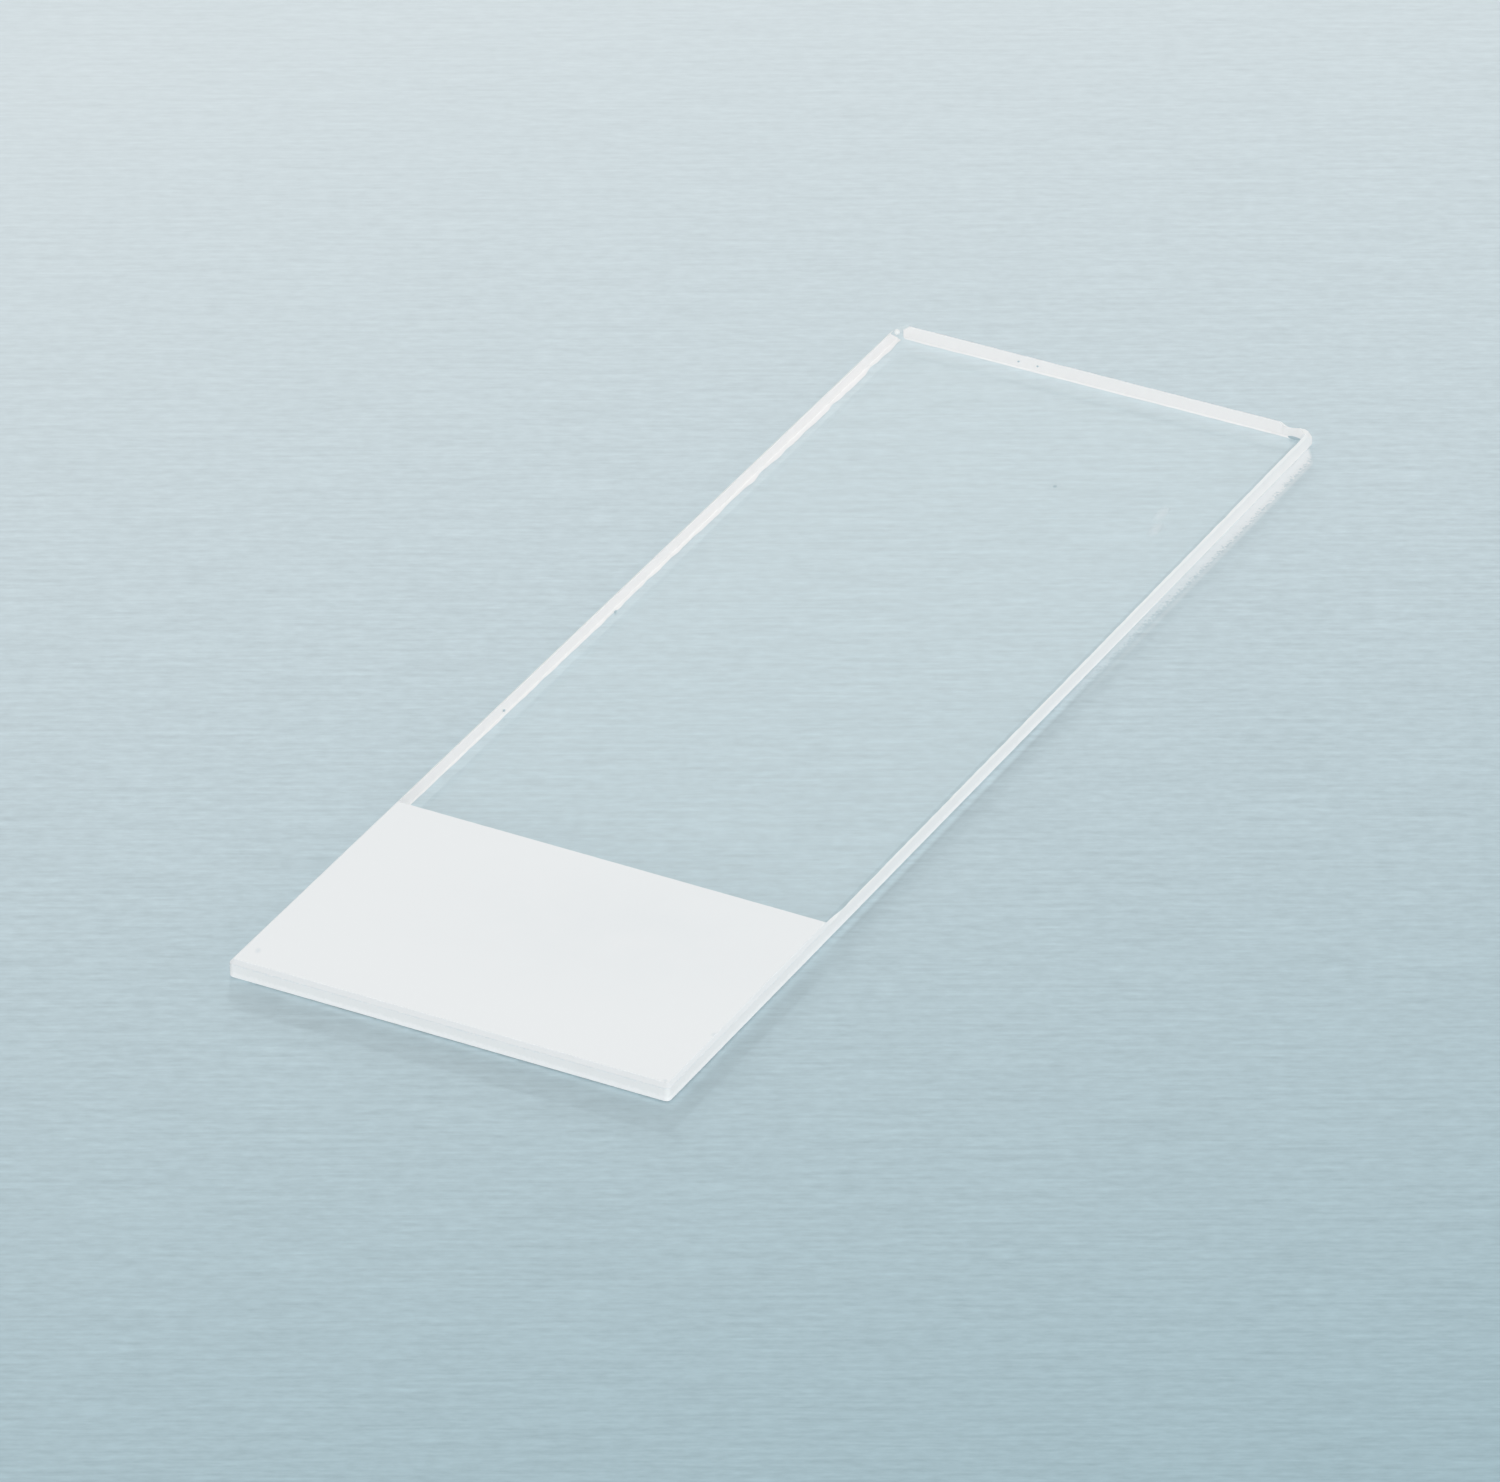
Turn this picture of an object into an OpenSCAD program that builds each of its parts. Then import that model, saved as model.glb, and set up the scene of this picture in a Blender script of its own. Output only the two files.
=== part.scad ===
// Microscope slide: a sheet-glass plate with every edge ground, and a white
// marking coat printed and baked on one end of its top face.
// Millimetres. X runs along the slide, with the coated end at -X, Y runs
// across it, and Z = 0 is the face that lies on the stage.

/* [Glass plate] */
// Length of the slide over its ground ends
slide_l = 76; // [50:0.5:100]
// Width of the slide over its ground long edges
slide_w = 26; // [18:0.5:52]
// Thickness of the glass
slide_t = 1; // [0.8:0.05:1.6]

/* [Ground edges] */
// Leg of the 45 degree bevel along the upper and lower rim of every edge
rim_bevel = 0.15; // [0.05:0.01:0.3]
// Leg of the flat ground across each upright corner
corner_cut = 0.25; // [0.2:0.05:3]

/* [Marking coat] */
// Length of the marking field, from the end of the slide to its inner border
coat_l = 17.6; // [8:0.1:30]
// Thickness of the baked coat
coat_t = 0.03; // [0.02:0.005:0.1]

/* [Hidden] */

// Distance between two opposite corner flats, square to them
corner_span = (slide_l + slide_w - 2 * corner_cut) / sqrt(2);
// A run that is longer than the plate in any direction
grind_run = slide_l + slide_w;

// All that a grinding pass along two opposite edges leaves between them:
// a bar as wide as span, as thick as the glass, with its four rims bevelled.
module ground_pair(span, turn) {
    side = span / 2;
    rim = side - rim_bevel;
    top_rim = slide_t - rim_bevel;
    rotate([0, 0, turn])
        rotate([90, 0, 0])
            linear_extrude(height = grind_run, center = true)
                polygon([
                    [-rim, 0], [rim, 0],
                    [side, rim_bevel], [side, top_rim],
                    [rim, slide_t], [-rim, slide_t],
                    [-side, top_rim], [-side, rim_bevel]
                ]);
}

// Outline of the polished face inside its bevelled rims
module face_outline() {
    face_cut_span = corner_span - 2 * rim_bevel;
    intersection() {
        square([slide_l - 2 * rim_bevel, slide_w - 2 * rim_bevel], center = true);
        rotate(45) square(face_cut_span, center = true);
    }
}

// The plate: two ends, two long edges and four corner flats, ground in turn
module glass_plate() {
    color("#C3D3D8", 0.6)
        intersection() {
            ground_pair(slide_l, 0);
            ground_pair(slide_w, 90);
            ground_pair(corner_span, 45);
            ground_pair(corner_span, -45);
        }
}

// The coat: it lies on the top face, flush with the bevels on three sides
module marking_coat() {
    color("#E9ECED")
        translate([0, 0, slide_t])
            linear_extrude(height = coat_t)
                intersection() {
                    face_outline();
                    translate([-slide_l / 2, -slide_w / 2]) square([coat_l, slide_w]);
                }
}

glass_plate();
marking_coat();
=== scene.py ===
import math

import bmesh
import bpy
from mathutils import Matrix, Quaternion, Vector, noise


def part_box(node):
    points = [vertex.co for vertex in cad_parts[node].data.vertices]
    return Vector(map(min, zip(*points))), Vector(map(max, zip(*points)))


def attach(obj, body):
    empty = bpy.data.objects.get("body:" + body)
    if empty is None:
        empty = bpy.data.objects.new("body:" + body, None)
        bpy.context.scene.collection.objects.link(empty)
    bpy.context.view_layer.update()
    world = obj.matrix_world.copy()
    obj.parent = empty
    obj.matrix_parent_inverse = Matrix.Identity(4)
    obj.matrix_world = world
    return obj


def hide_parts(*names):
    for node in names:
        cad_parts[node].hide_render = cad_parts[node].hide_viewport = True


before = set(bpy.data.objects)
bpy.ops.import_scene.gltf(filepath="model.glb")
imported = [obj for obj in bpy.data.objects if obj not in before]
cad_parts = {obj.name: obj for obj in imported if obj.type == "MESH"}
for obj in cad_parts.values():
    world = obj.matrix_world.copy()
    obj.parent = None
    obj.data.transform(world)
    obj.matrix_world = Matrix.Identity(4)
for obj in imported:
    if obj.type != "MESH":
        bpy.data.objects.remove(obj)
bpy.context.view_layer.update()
scene = bpy.context.scene
scene.view_settings.view_transform = "Standard"

# --- Camera ---
# A long lens looks down on the marked end of the slide, along it and a little
# to one side, so that the plate runs away from the eye to the upper right.
VIEW_AZIMUTH = math.radians(28.05)  # of the line of sight, from the slide's length
VIEW_DROP = math.radians(31.44)  # of the line of sight, below level
VIEW_TILT = math.radians(-0.235)  # of the camera, about the line of sight
VIEW_AIM = Vector((-0.004662, -0.00004, 0.0))  # the point of the table that it looks at
VIEW_LENGTH = 0.67013  # from there to the lens
sight = Vector(
    (
        math.cos(VIEW_DROP) * math.cos(VIEW_AZIMUTH),
        math.cos(VIEW_DROP) * math.sin(VIEW_AZIMUTH),
        -math.sin(VIEW_DROP),
    )
)
camera_data = bpy.data.cameras.new("camera")
camera_data.lens = 300.0
camera_data.sensor_width = 36.0
camera_data.clip_start = 0.05
camera_data.clip_end = 20.0
camera = bpy.data.objects.new("camera", camera_data)
camera.location = VIEW_AIM - VIEW_LENGTH * sight
camera.rotation_mode = "QUATERNION"
camera.rotation_quaternion = sight.to_track_quat("-Z", "Y") @ Quaternion((0, 0, 1), VIEW_TILT)
scene.collection.objects.link(camera)
scene.camera = camera


# --- Glass plate ---
# A slide cut from a drawn sheet of clear soda-lime glass. All four edges and
# their rims are ground with fine grit, which leaves a white frosted band, and
# each upright corner is touched with a small flat.
def linear(hex_colour, alpha=1.0):
    """A hex sRGB colour as linear numbers."""
    parts = [int(hex_colour[i : i + 2], 16) / 255 for i in (1, 3, 5)]
    return (*[c / 12.92 if c <= 0.04045 else ((c + 0.055) / 1.055) ** 2.4 for c in parts], alpha)


def shader_tree(data):
    """The emptied node tree of a material or a world."""
    data.use_nodes = True
    data.node_tree.nodes.clear()
    return data.node_tree


def add(tree, kind, inputs=None, **settings):
    """A shader node with its settings, and with values or links for its inputs."""
    node = tree.nodes.new("ShaderNode" + kind)
    for name, value in settings.items():
        setattr(node, name, value)
    for name, value in (inputs or {}).items():
        if isinstance(value, bpy.types.Node):
            value = value.outputs[0]
        if isinstance(value, bpy.types.NodeSocket):
            tree.links.new(value, node.inputs[name])
        else:
            node.inputs[name].default_value = value
    return node


MM = 0.001
RIM_BEVEL = 0.15 * MM  # leg of the ground rim round the upper face
FOOT_BEVEL = 0.06 * MM  # leg of the rim beneath
CORNER = 0.25 * MM  # leg of the touch on each upright corner
STEP = 0.25 * MM  # spacing of the points along an edge
COAT_END = -20.4 * MM  # where the marking coat stops along the plate
CHIP_START = 0.1 * MM  # of the chip in the far rim, from the corner
CHIP_LENGTH = 1.85 * MM  # of that chip, along the rim
FROSTED, CLEAR, DUST_AND_SHADE = 0, 1, 2  # the finish of a face, by the place of its material


def rectangle(shell, low, high):
    """One face over the foot of that box."""
    bmesh.ops.create_grid(shell, x_segments=1, y_segments=1, size=0.5)
    bmesh.ops.scale(shell, vec=(high.x - low.x, high.y - low.y, 1), verts=shell.verts)
    middle = (low + high) / 2
    bmesh.ops.translate(shell, vec=(middle.x, middle.y, low.z), verts=shell.verts)


def divide(shell):
    """The face's outline alone, its long edges cut into short pieces."""
    bmesh.ops.delete(shell, geom=shell.faces[:], context="FACES_ONLY")
    for run in [e for e in shell.edges if e.calc_length() > 5 * MM]:
        bmesh.ops.subdivide_edges(shell, edges=[run], cuts=int(run.calc_length() / STEP))


def thicken(shell, height):
    """The outline filled, and drawn up into a slab of that height."""
    face = bmesh.ops.contextual_create(shell, geom=shell.edges[:])["faces"]
    lifted = bmesh.ops.extrude_face_region(shell, geom=face, use_keep_orig=True)["geom"]
    bmesh.ops.translate(
        shell, vec=(0, 0, height), verts=[g for g in lifted if isinstance(g, bmesh.types.BMVert)]
    )
    bmesh.ops.recalc_face_normals(shell, faces=shell.faces[:])


def bevel_rim(shell, height, leg):
    """A flat bevel along the edges that lie at that height."""
    rim = [e for e in shell.edges if all(abs(v.co.z - height) < 1e-7 for v in e.verts)]
    bmesh.ops.bevel(
        shell, geom=rim, affect="EDGES", offset=leg, offset_type="OFFSET",
        segments=1, profile=0.5, material=-1, clamp_overlap=False,
    )


def stray(vert, low, high, band, reach, wave):
    """Move a point near the box's sides inwards by a smooth share of that reach."""
    inwards = reach * (0.5 + 0.5 * noise.noise(vert.co / wave))
    for axis in (0, 1):
        if vert.co[axis] > high[axis] - band:
            vert.co[axis] -= inwards
        elif vert.co[axis] < low[axis] + band:
            vert.co[axis] += inwards


def widen_rim(vert, low):
    """Draw a point near the marked end's edge inwards, less and less over a millimetre."""
    vert.co.x += 0.09 * max(1.2 * MM - (vert.co.x - low.x), 0)


low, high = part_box("glass_plate")
size = high - low
shell = bmesh.new()
rectangle(shell, low, high)
bmesh.ops.bevel(
    shell, geom=shell.verts[:], affect="VERTICES", offset=CORNER, offset_type="OFFSET",
    segments=3, profile=0.5, material=-1,
)
divide(shell)
thicken(shell, size.z)
bevel_rim(shell, high.z, RIM_BEVEL)
bevel_rim(shell, low.z, FOOT_BEVEL)
for f in shell.faces:
    middle = f.calc_center_median()
    in_flaked_corner = min(middle.x - high.x, middle.y - high.y) > -CORNER
    f.material_index = CLEAR if abs(f.normal.z) > 0.999 or in_flaked_corner else FROSTED

# The rims stray where the belt bit more. It leaned over more and more past the
# coat, so the upper rim is finer there on one side and the foot of the other
# side is ground further in, and the rim at the marked end is the widest. A
# shallow chip has come off the far rim, deep at one end and run out at the
# other, beside the corner.
for v in shell.verts:
    above = v.co.z > size.z / 2
    polished = min(high.z - v.co.z, v.co.z - low.z) < 1e-7
    if polished:
        past = v.co.x - COAT_END
        if above and v.co.y < low.y + 2 * RIM_BEVEL:
            v.co.y -= min(max(0.1 * past, 0), 0.15 * MM - 0.001 * past)
        if not above and v.co.y > high.y - 2 * RIM_BEVEL:
            v.co.y -= min(max(0.004 * past, 0), 0.2 * MM) * (1 + noise.noise(v.co / (1.2 * MM)))
        reach = 0.12 * MM if above and v.co.x > high.x - 2 * RIM_BEVEL else 0.06 * MM
        stray(v, low, high, band=2 * RIM_BEVEL, reach=reach, wave=0.8 * MM)
        if above:
            widen_rim(v, low)
    along = v.co.y - low.y - CHIP_START
    chipped = min(along, 4 * (CHIP_LENGTH - along))
    if above and v.co.x > high.x - 2 * RIM_BEVEL and chipped > 0:
        v.co += chipped * (Vector((-0.3, 0, 0)) if polished else Vector((-0.06, 0, -0.12)))


def strike_off(shell, point, slope, finish):
    """Take off what lies beyond a plane, given in mm, and close the cut with that finish."""
    cut = bmesh.ops.bisect_plane(
        shell, geom=shell.verts[:] + shell.edges[:] + shell.faces[:], dist=1e-8,
        plane_co=Vector(point) * MM, plane_no=Vector(slope), clear_outer=True,
    )["geom_cut"]
    rim = [g for g in cut if isinstance(g, bmesh.types.BMEdge)]
    bmesh.ops.edgeloop_fill(shell, edges=rim, mat_nr=finish)


# The far corners have been knocked. A clean flake is gone from one, nearly down
# to its foot, with a smaller one beside it, and the other is worn round at the
# top.
strike_off(shell, (36.95, 13, 0.71), (0.77, 2.4, 1.0), CLEAR)
strike_off(shell, (37.9, 12.35, 0.95), (0.5, 0.4, 0.51), CLEAR)
strike_off(shell, (38, -12.3, 0.84), (0.4, -0.35, 0.94), FROSTED)
strike_off(shell, (38, -12.62, 0.74), (0.45, -0.77, 0.64), FROSTED)
bmesh.ops.recalc_face_normals(shell, faces=shell.faces[:])

# A white bead on the flaked corner, a painted highlight; a dark grain in the
# foot below the chip, painted shade; specks of dust in pits of the ground
# sides, and one on the upper face: centre and radii in mm.
for centre, radii, finish in (
    # a painted highlight
    ((37.38, 12.83, 0.67), (0.17, 0.17, 0.17), FROSTED),
    # painted shade
    ((37.88, -11.85, 0.1), (0.03, 0.4, 0.1), DUST_AND_SHADE),
    ((37.94, 5.42, 0.43), (0.05, 0.07, 0.05), DUST_AND_SHADE),
    ((37.94, 4.22, 0.43), (0.05, 0.07, 0.05), DUST_AND_SHADE),
    ((-8.43, 12.93, 0.29), (0.09, 0.06, 0.07), DUST_AND_SHADE),
    ((3.8, 12.75, 0.07), (0.11, 0.07, 0.06), DUST_AND_SHADE),
    ((25.55, -3.11, 1.0), (0.14, 0.11, 0.01), DUST_AND_SHADE),
):
    grain = bmesh.ops.create_icosphere(
        shell, subdivisions=2, radius=MM,
        matrix=Matrix.LocRotScale(Vector(centre) * MM, None, Vector(radii)),
    )["verts"]
    for f in {f for v in grain for f in v.link_faces}:
        f.material_index = finish
plate_mesh = bpy.data.meshes.new("ground_edge_plate")
shell.to_mesh(plate_mesh)
shell.free()
plate = bpy.data.objects.new("ground_edge_plate", plate_mesh)
scene.collection.objects.link(plate)

# Ground glass: fine pits scatter the light, so the band looks white from
# outside and through the top face alike. Painted light makes the side whiter
# towards the foot, less so at the far end, and painted shade makes the rim
# above greyer beside the coat. Seen from inside, the band is a copy in a
# warmer tone with painted shade at its foot. It throws most of a lamp's light
# forwards, so its shadow is faint.
LIT_FROM = high.x - 33 * MM  # from here on the lamps' light collects in the plate
LIT_FULL = high.x - 8 * MM  # and here it is full
ground_glass = bpy.data.materials.new("ground_soda_lime_glass")
tree = shader_tree(ground_glass)
place = add(tree, "TexCoord").outputs["Object"]
spot = add(tree, "SeparateXYZ", {0: place}).outputs
# Painted light: the side's tone whitens towards the foot, less so at the far end.
rise = add(tree, "MapRange", {"Value": spot["Z"], "From Min": low.z, "From Max": high.z})
grit = add(tree, "TexNoise", {"Vector": place, "Scale": 1 / (0.15 * MM), "Detail": 1.0})
grit = add(tree, "Math", {0: grit, 1: 0.3, 2: -0.15}, operation="MULTIPLY_ADD")
level = add(tree, "Math", {0: rise, 1: grit}, operation="ADD")
far = add(
    tree, "MapRange", {
        "Value": spot["X"], "From Min": LIT_FROM, "From Max": LIT_FULL, "To Max": 0.35,
    },
)
tone = add(tree, "ValToRGB", {0: add(tree, "Math", {0: level, 1: far}, operation="ADD")})
tone.color_ramp.elements[0].position = 0.24
tone.color_ramp.elements[0].color = linear("#F4F4F4")
tone.color_ramp.elements[1].position = 0.92
tone.color_ramp.elements[1].color = linear("#E9EBEB")
tone.color_ramp.elements.new(0.42).color = linear("#ECEDED")
tone.color_ramp.elements.new(0.80).color = linear("#EBECEC")
# Painted shade: the rim above is greyer beside the coat.
upper = add(tree, "MapRange", {"Value": level, "From Min": 0.75, "From Max": 0.85})
marked = add(
    tree, "MapRange", {
        "Value": spot["X"], "From Min": low.x + 18.5 * MM, "From Max": low.x + 17.5 * MM,
    },
)
rim_shade_and_smear = add(tree, "Math", {0: upper, 1: marked}, operation="MULTIPLY")
tone = add(tree, "MixRGB", {0: rim_shade_and_smear, 1: tone, 2: linear("#E4E8EA")})
outside = add(tree, "BsdfDiffuse", {"Color": tone})
# Seen from inside, a copy in a warmer tone, with painted shade at its foot.
depth = add(tree, "ValToRGB", {0: rise})
depth.color_ramp.elements[0].position = 0.04
depth.color_ramp.elements[0].color = linear("#E8E7E7")
depth.color_ramp.elements[1].position = 0.12
depth.color_ramp.elements[1].color = linear("#F0EDEC")
shaded_inside_copy = add(tree, "BsdfDiffuse", {"Color": depth})
inner = add(tree, "NewGeometry").outputs["Backfacing"]
frosted = add(tree, "MixShader", {0: inner, 1: outside, 2: shaded_inside_copy})
share = add(tree, "Math", {0: inner, 1: 0.5, 2: 0.5}, operation="MULTIPLY_ADD")
rays = add(tree, "LightPath").outputs
forward = add(tree, "Math", {0: rays["Is Shadow Ray"], 1: share}, operation="MULTIPLY")
passed = add(tree, "BsdfTransparent", {"Color": (1, 1, 1, 1)})
surface = add(tree, "MixShader", {0: forward, 1: frosted, 2: passed})
add(tree, "OutputMaterial", {"Surface": surface})


def mark(tree, centre, length, width, turn):
    """A share that is 1 in an oval mark on the upper face, in mm, and fades to 0 round it."""
    oval = add(
        tree, "Mapping", {
            "Vector": add(tree, "TexCoord").outputs["Object"],
            "Location": (centre[0] * MM, centre[1] * MM, high.z),
            "Rotation": (0, 0, math.radians(turn)),
            "Scale": (length * MM / 2, width * MM / 2, MM),
        }, vector_type="TEXTURE",
    )
    away = add(tree, "VectorMath", {0: oval}, operation="LENGTH").outputs["Value"]
    return add(tree, "MapRange", {"Value": away, "From Min": 1.0, "From Max": 0.2})


# Polished faces: nearly colourless, so the table shows through, with a thin
# sheen that grows towards a glancing view, as on any plate glass. Lamps and
# light that comes back off the table go straight through. A painted shade
# darkens a hair of it along one rim. A thumb has left a faint smear near the
# far end, in two dabs.
clear_glass = bpy.data.materials.new("drawn_soda_lime_glass")
tree = shader_tree(clear_glass)
glance = add(tree, "LayerWeight", {"Blend": 0.5}).outputs["Facing"]
steep = add(tree, "Math", {0: glance, 1: 5.0}, operation="POWER")
mirrored = add(tree, "Math", {0: steep, 1: 0.957, 2: 0.043}, operation="MULTIPLY_ADD")
aside = add(tree, "SeparateXYZ", {0: add(tree, "TexCoord").outputs["Object"]}).outputs["Y"]
# Painted shade: a hair of the glass is darker along one rim.
painted_rim_shade = add(
    tree, "MapRange", {
        "Value": aside, "From Min": low.y + 0.3 * MM, "From Max": low.y + 0.2 * MM,
    },
)
tint = add(tree, "MixRGB", {0: painted_rim_shade, 1: linear("#FEFFFF"), 2: linear("#F3F6F7")})
body = add(tree, "BsdfTransparent", {"Color": tint})
sheen = add(tree, "BsdfGlossy", {"Color": (1, 1, 1, 1), "Roughness": 0.02})
seen = add(tree, "MixShader", {0: mirrored, 1: body, 2: sheen})
dabs = {
    0: mark(tree, (25.6, -9.68), length=2.2, width=0.75, turn=5),
    1: mark(tree, (23.95, -10.12), length=1.9, width=0.75, turn=5),
}
rim_shade_and_smear = add(tree, "Math", dabs, operation="ADD")
rim_shade_and_smear = add(tree, "Math", {0: rim_shade_and_smear, 1: 0.2}, operation="MULTIPLY")
smear = add(tree, "BsdfDiffuse", {"Color": linear("#EEF1F2")})
seen = add(tree, "MixShader", {0: rim_shade_and_smear, 1: seen, 2: smear})
rays = add(tree, "LightPath").outputs
light = {0: rays["Is Shadow Ray"], 1: rays["Is Diffuse Ray"]}
light = add(tree, "Math", light, operation="MAXIMUM")
passed = add(tree, "BsdfTransparent", {"Color": (1, 1, 1, 1)})
surface = add(tree, "MixShader", {0: light, 1: seen, 2: passed})
add(tree, "OutputMaterial", {"Surface": surface})

# Dust lodged in pits, and painted shade in the foot below the chip: a dull blue-grey.
dust_and_shade = bpy.data.materials.new("dust_and_painted_shade")
tree = shader_tree(dust_and_shade)
add(tree, "OutputMaterial", {"Surface": add(tree, "BsdfDiffuse", {"Color": linear("#A9BBC2")})})

for finish in (ground_glass, clear_glass, dust_and_shade):
    plate_mesh.materials.append(finish)
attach(plate, "root")
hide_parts("glass_plate")

# --- Marking coat ---
# White ceramic ink, screen printed on one end of the top face and baked on.
# Its border follows the screen's mesh, so it isn't quite straight, and its inner
# end was printed slightly askew. The ink draws down to the glass there.
INK_EDGE = 0.02 * MM  # leg of the slope at the ink's edge
ASKEW = 0.0045  # rise of its inner end across the plate
coat_low, coat_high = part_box("marking_coat")
ink = bmesh.new()
rectangle(ink, coat_low, coat_high)
divide(ink)
thicken(ink, coat_high.z - coat_low.z)
bevel_rim(ink, coat_high.z, INK_EDGE)
for v in ink.verts:
    stray(v, coat_low, coat_high, band=2 * INK_EDGE, reach=0.03 * MM, wave=0.5 * MM)
    widen_rim(v, low)
    if v.co.x > coat_high.x - 4 * INK_EDGE:
        v.co.x += 0.15 * MM + ASKEW * v.co.y
coat_mesh = bpy.data.meshes.new("printed_coat")
ink.to_mesh(coat_mesh)
ink.free()
coat = bpy.data.objects.new("printed_coat", coat_mesh)
scene.collection.objects.link(coat)

# Satin white, a trace greyer in soft clouds where the ink is thinner, and with
# three small grey rubs near the corners.
white_ink = bpy.data.materials.new("baked_white_ink")
tree = shader_tree(white_ink)
place = add(tree, "TexCoord").outputs["Object"]
cloud = add(tree, "TexNoise", {"Vector": place, "Scale": 1 / (2.5 * MM), "Detail": 3.0})
patch = mark(tree, (-26, -4.5), length=30, width=16, turn=105)
thin = add(tree, "Math", {0: cloud, 1: patch}, operation="MULTIPLY")
tint = add(tree, "Math", {0: thin, 1: 0.35}, operation="MULTIPLY")
for rub in (
    mark(tree, (-36.49, 12.06), length=0.7, width=0.4, turn=20),
    mark(tree, (-32.6, -12.75), length=0.5, width=0.35, turn=0),
    mark(tree, (-37.6, -12.6), length=0.4, width=0.3, turn=60),
):
    tint = add(tree, "Math", {0: tint, 1: rub}, operation="MAXIMUM")
tone = add(tree, "ValToRGB", {0: tint})
tone.color_ramp.elements[0].color = linear("#EAEDEE")
tone.color_ramp.elements[1].color = linear("#DDE3E6")
ink_face = add(tree, "BsdfPrincipled", {"Base Color": tone, "Roughness": 0.55, "IOR": 1.5})
add(tree, "OutputMaterial", {"Surface": ink_face})
coat_mesh.materials.append(white_ink)
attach(coat, "root")
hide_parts("marking_coat")

# --- Table ---
# A plain pale blue-grey metal top with a brushed grain that runs across the
# line of sight. It only sets the slide off, and is no part of it.
table_sheet = bmesh.new()
bmesh.ops.create_grid(table_sheet, x_segments=1, y_segments=1, size=2.0)
bmesh.ops.translate(table_sheet, vec=(0, 0, low.z - 0.02 * MM), verts=table_sheet.verts)
table_mesh = bpy.data.meshes.new("table")
table_sheet.to_mesh(table_mesh)
table_sheet.free()
table = bpy.data.objects.new("table", table_mesh)
scene.collection.objects.link(table)

# The table's tone pales one way across it, a painted sheen.
PALER = math.radians(44.7)  # the way in which the table pales, from the plate's length
ACROSS = math.radians(28)  # square to the brush lines, from the plate's length
EVEN = 0.5  # the level of a band that leaves the table's tone alone
brushed = bpy.data.materials.new("brushed_pale_metal")
tree = shader_tree(brushed)
place = add(tree, "TexCoord").outputs["Object"]
slope = add(tree, "Mapping", {"Vector": place, "Rotation": (0, 0, -PALER)})
along = add(tree, "SeparateXYZ", {0: slope}).outputs["X"]
step = add(tree, "MapRange", {"Value": along, "From Min": -80 * MM, "From Max": 80 * MM})
tone = add(tree, "ValToRGB", {0: step})
tone.color_ramp.elements[0].color = linear("#9DB7C0")
tone.color_ramp.elements[1].color = linear("#D3DEE2")
tone.color_ramp.elements.new(0.55).color = linear("#C1D1D7")
# Brush lines lie some hundredths of a millimetre apart, and are drawn about
# 0.4 mm apart, so that they show: long ones, and short ones among them. They
# are fainter where the table is paler.
grain = 0.0
for width, length in ((0.36, 7.5), (0.4, 1.1)):
    stretched = add(
        tree, "Mapping", {
            "Vector": place, "Rotation": (0, 0, ACROSS), "Scale": (width * MM, length * MM, MM),
        }, vector_type="TEXTURE",
    )
    lines = {"Vector": stretched, "Scale": 1.0, "Detail": 3.0, "Roughness": 0.6}
    grain = add(tree, "Math", {0: add(tree, "TexNoise", lines), 1: grain}, operation="ADD")
swing = {"Value": grain, "From Min": 0.7, "From Max": 1.3, "To Min": -1.0}
swing = add(tree, "MapRange", swing, clamp=False)
depth = add(tree, "ValToRGB", {0: step})
depth.color_ramp.elements.new(0.5)
for element, share in zip(depth.color_ramp.elements, (0.092, 0.092, 0.045)):
    element.color = (share, share, share, 1)
faint = add(tree, "Math", {0: swing, 1: depth, 2: 1.0}, operation="MULTIPLY_ADD")
streaks = add(tree, "VectorMath", {0: tone, "Scale": faint}, operation="SCALE")

# Painted light and painted shadow in the table's tone: the ground sides pass
# some light, which lies as a faint line along the foot. Beside the clear part
# the shadow is darkest on both sides of that line. Along the far long side the
# light lies on both sides of the foot, and on the inner side in a line a little
# way off it. Each stop of a band is a share of the way across it, and the level
# there.
spot = add(tree, "SeparateXYZ", {0: place}).outputs
out = add(tree, "Math", {0: low.y, 1: spot["Y"]}, operation="SUBTRACT")
ahead = add(tree, "Math", {0: low.x, 1: spot["X"]}, operation="SUBTRACT")
away = add(tree, "Math", {0: out, 1: ahead}, operation="MAXIMUM")
away = add(tree, "MapRange", {"Value": away, "From Min": -0.1 * MM, "From Max": 1.4 * MM})
behind = add(tree, "Math", {0: spot["Y"], 1: high.y}, operation="SUBTRACT")
past = add(tree, "MapRange", {"Value": behind, "From Min": -1.3 * MM, "From Max": 1.9 * MM})
bands = []
for distance, stops in (
    (away, ((0.06, EVEN), (0.19, 0.65), (0.3, 0.62), (0.44, EVEN))),
    (away, (
        (0.03, EVEN), (0.06, 0.32), (0.19, 0.6), (0.3, 0.57), (0.44, 0.2), (0.6, 0.38),
        (0.93, EVEN),
    )),
    (past, (
        (0.02, EVEN), (0.11, 0.555), (0.21, 0.555), (0.28, 0.475), (0.36, 0.475), (0.41, 0.55),
        (0.97, EVEN),
    )),
):
    band = add(tree, "ValToRGB", {0: distance})
    for share, level in stops[1:-1]:
        band.color_ramp.elements.new(share)
    for element, (share, level) in zip(band.color_ramp.elements, stops):
        element.position = share
        element.color = (level, level, level, 1)
    bands.append(band)
clear = add(
    tree, "MapRange", {
        "Value": spot["X"], "From Min": low.x + 17 * MM, "From Max": low.x + 19 * MM,
    },
)
near = add(tree, "MixRGB", {0: clear, 1: bands[0], 2: bands[1]})
short = add(tree, "MapRange", {"Value": spot["X"], "From Min": 15 * MM, "From Max": 5 * MM})
inward = add(
    tree, "MapRange", {
        "Value": spot["Y"], "From Min": high.y - 0.5 * MM, "From Max": high.y - 5 * MM,
    },
)
kept = add(tree, "Math", {0: short, 1: inward}, operation="MULTIPLY")
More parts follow.
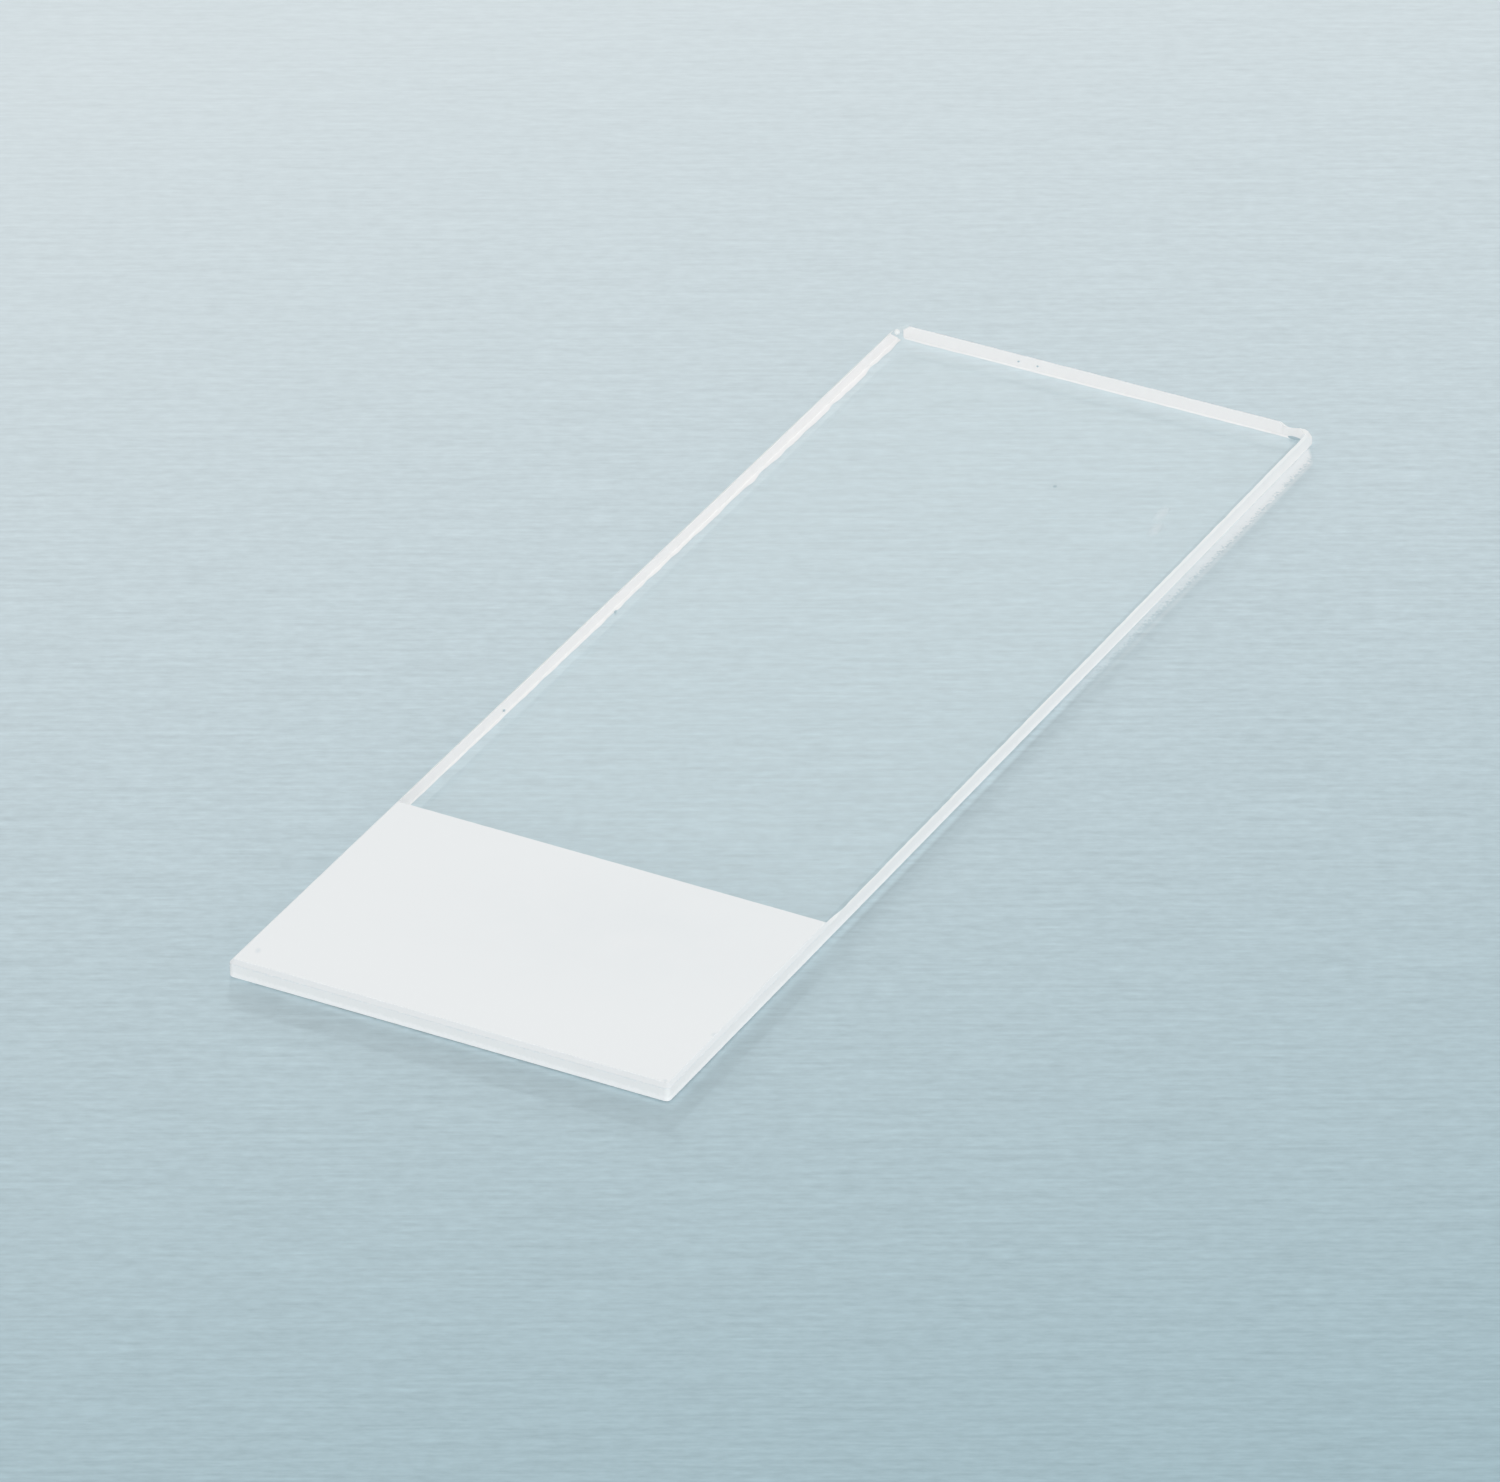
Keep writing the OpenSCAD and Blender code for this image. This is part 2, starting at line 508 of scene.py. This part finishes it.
near = add(tree, "MixRGB", {0: kept, 1: (EVEN, EVEN, EVEN, 1), 2: near})
beside = add(
    tree, "MapRange", {
        "Value": add(tree, "Math", {0: spot["X"]}, operation="ABSOLUTE"),
        "From Min": high.x + 0.2 * MM, "From Max": high.x - 1.4 * MM,
    },
)
rear = add(tree, "MixRGB", {0: beside, 1: (EVEN, EVEN, EVEN, 1), 2: bands[2]})
both = add(tree, "Math", {0: near, 1: rear}, operation="ADD")
shading = {"Value": both, "From Max": 2.0, "To Min": 0.6, "To Max": 1.4}
shading = add(tree, "MapRange", shading)

# The shadow ahead of the marked end is painted darker where it starts, at the
# corner. Its border runs from there away from the lamps behind.
SHADOW_RUN = math.radians(28)  # of that border, from the plate's length
border = add(tree, "Math", {0: behind, 1: math.cos(SHADOW_RUN)}, operation="MULTIPLY")
border = {0: ahead, 1: math.sin(SHADOW_RUN), 2: border}
border = add(tree, "Math", border, operation="MULTIPLY_ADD")
deep = {"Value": border, "From Min": -6 * MM, "From Max": -2 * MM, "To Max": -0.04}
deep = add(tree, "MapRange", deep)
for value, start, end in ((border, 0.12, -0.12), (ahead, 2.7, 1.7), (ahead, -0.1, 0.1)):
    share = {"Value": value, "From Min": start * MM, "From Max": end * MM}
    deep = add(tree, "Math", {0: deep, 1: add(tree, "MapRange", share)}, operation="MULTIPLY")
shading = add(tree, "Math", {0: shading, 1: deep}, operation="ADD")
streaks = add(tree, "VectorMath", {0: streaks, "Scale": shading}, operation="SCALE")

# The plate carries the lamps' light along to its far end and throws some out
# there, painted into the table's colour: a bright wedge of painted light beside
# the plate, ragged on the grain, that fades and narrows towards the coat, and a
# faint line along it further out.
grit = add(tree, "TexNoise", {"Vector": place, "Scale": 1 / (0.16 * MM), "Detail": 1.0})
grit = add(
    tree, "MapRange", {
        "Value": grit, "From Min": 0.3, "From Max": 0.7, "To Min": -0.22 * MM, "To Max": 0.22 * MM,
    },
)
ragged = add(tree, "Math", {0: swing, 1: -0.12 * MM, 2: grit}, operation="MULTIPLY_ADD")
reach = add(
    tree, "MapRange", {
        "Value": spot["X"], "From Min": high.x - 22 * MM, "From Max": high.x - 12 * MM,
        "To Min": 0.35 * MM, "To Max": 0.66 * MM,
    },
)
edge = add(tree, "Math", {0: out, 1: ragged}, operation="ADD")
edge = add(tree, "Math", {0: edge, 1: reach}, operation="SUBTRACT")
wedge = add(tree, "MapRange", {"Value": edge, "From Min": 0.14 * MM, "From Max": -0.14 * MM})
line = add(tree, "Math", {0: out, 1: 0.81 * MM}, operation="SUBTRACT")
line = add(tree, "Math", {0: line}, operation="ABSOLUTE")
line = {"Value": line, "From Min": 0.2 * MM, "From Max": 0.05 * MM, "To Max": 0.38}
line = add(tree, "MapRange", line)
far = {"Value": spot["X"], "From Min": LIT_FROM, "From Max": LIT_FULL, "To Max": 0.82}
far = add(tree, "MapRange", far)
tip = add(tree, "Math", {0: out, 1: 1.5, 2: spot["X"]}, operation="MULTIPLY_ADD")
before = add(
    tree, "MapRange", {
        "Value": tip, "From Min": high.x - 0.45 * MM, "From Max": high.x - 0.8 * MM,
    },
)
clear_of_foot = add(tree, "Math", {0: out, 1: -0.045 * MM}, operation="GREATER_THAN")
strip = add(tree, "Math", {0: wedge, 1: line}, operation="MAXIMUM")
for share in (far, before, clear_of_foot):
    strip = add(tree, "Math", {0: strip, 1: share}, operation="MULTIPLY")
lit = add(tree, "MixRGB", {0: strip, 1: streaks, 2: linear("#EDEFF0")})
top = add(tree, "BsdfPrincipled", {"Base Color": lit, "Roughness": 0.15, "IOR": 1.45})
add(tree, "OutputMaterial", {"Surface": top})
table_mesh.materials.append(brushed)

# --- Lamps ---
# Soft studio light: an even pale room, two low lamps behind the slide that draw
# the short shadow before its near edges, and a soft one by the camera.
def soft_lamp(name, azimuth, height, away, width, depth, share, shadow):
    """An area lamp aimed at the slide, which gives that share of the light on the table.

    Its direction is in degrees, from the slide's length and from level.
    """
    a, h = math.radians(azimuth), math.radians(height)
    toward = Vector((math.cos(h) * math.cos(a), math.cos(h) * math.sin(a), math.sin(h)))
    lamp = bpy.data.lights.new(name, "AREA")
    lamp.shape = "RECTANGLE"
    lamp.size, lamp.size_y = width, depth
    lamp.energy = share * math.pi**2 * away**2 / math.sin(h)
    lamp.use_shadow = shadow
    holder = bpy.data.objects.new(name, lamp)
    holder.location = toward * away
    holder.rotation_mode = "QUATERNION"
    holder.rotation_quaternion = (-toward).to_track_quat("-Z", "Y")
    holder.visible_glossy = False
    scene.collection.objects.link(holder)


for name, height, share in (("low_lamp_behind", 18.5, 0.085), ("lower_lamp_behind", 12, 0.035)):
    soft_lamp(
        name, azimuth=29.5, height=height, away=1.2, width=0.10, depth=0.035,
        share=share, shadow=True,
    )
soft_lamp(
    "soft_lamp_in_front", azimuth=226, height=35, away=1.4, width=1.4, depth=0.8,
    share=0.28, shadow=False,
)

# The room is brightest low down, where pale screens stand round the table.
# Glass and metal mirror a plain pale wall, which also stands behind the table.
room = bpy.data.worlds.new("pale_room")
tree = shader_tree(room)
rise = add(tree, "SeparateXYZ", {0: add(tree, "TexCoord").outputs["Generated"]}).outputs["Z"]
rise = add(tree, "MapRange", {"Value": rise, "From Min": 0.5, "From Max": 0.8})
shade = add(tree, "ValToRGB", {0: rise})
SCREENS, CEILING = 1.1, 0.3  # strength of their light
for element, level in zip(shade.color_ramp.elements, (SCREENS, CEILING)):
    element.color = (level, level, level, 1)
light = add(tree, "Background", {"Color": shade})
wall = add(tree, "Background", {"Color": linear("#E0E4E6")})
rays = add(tree, "LightPath").outputs
shown = add(tree, "Math", {0: rays["Is Camera Ray"], 1: rays["Is Glossy Ray"]}, operation="MAXIMUM")
add(tree, "OutputWorld", {"Surface": add(tree, "MixShader", {0: shown, 1: light, 2: wall})})
scene.world = room
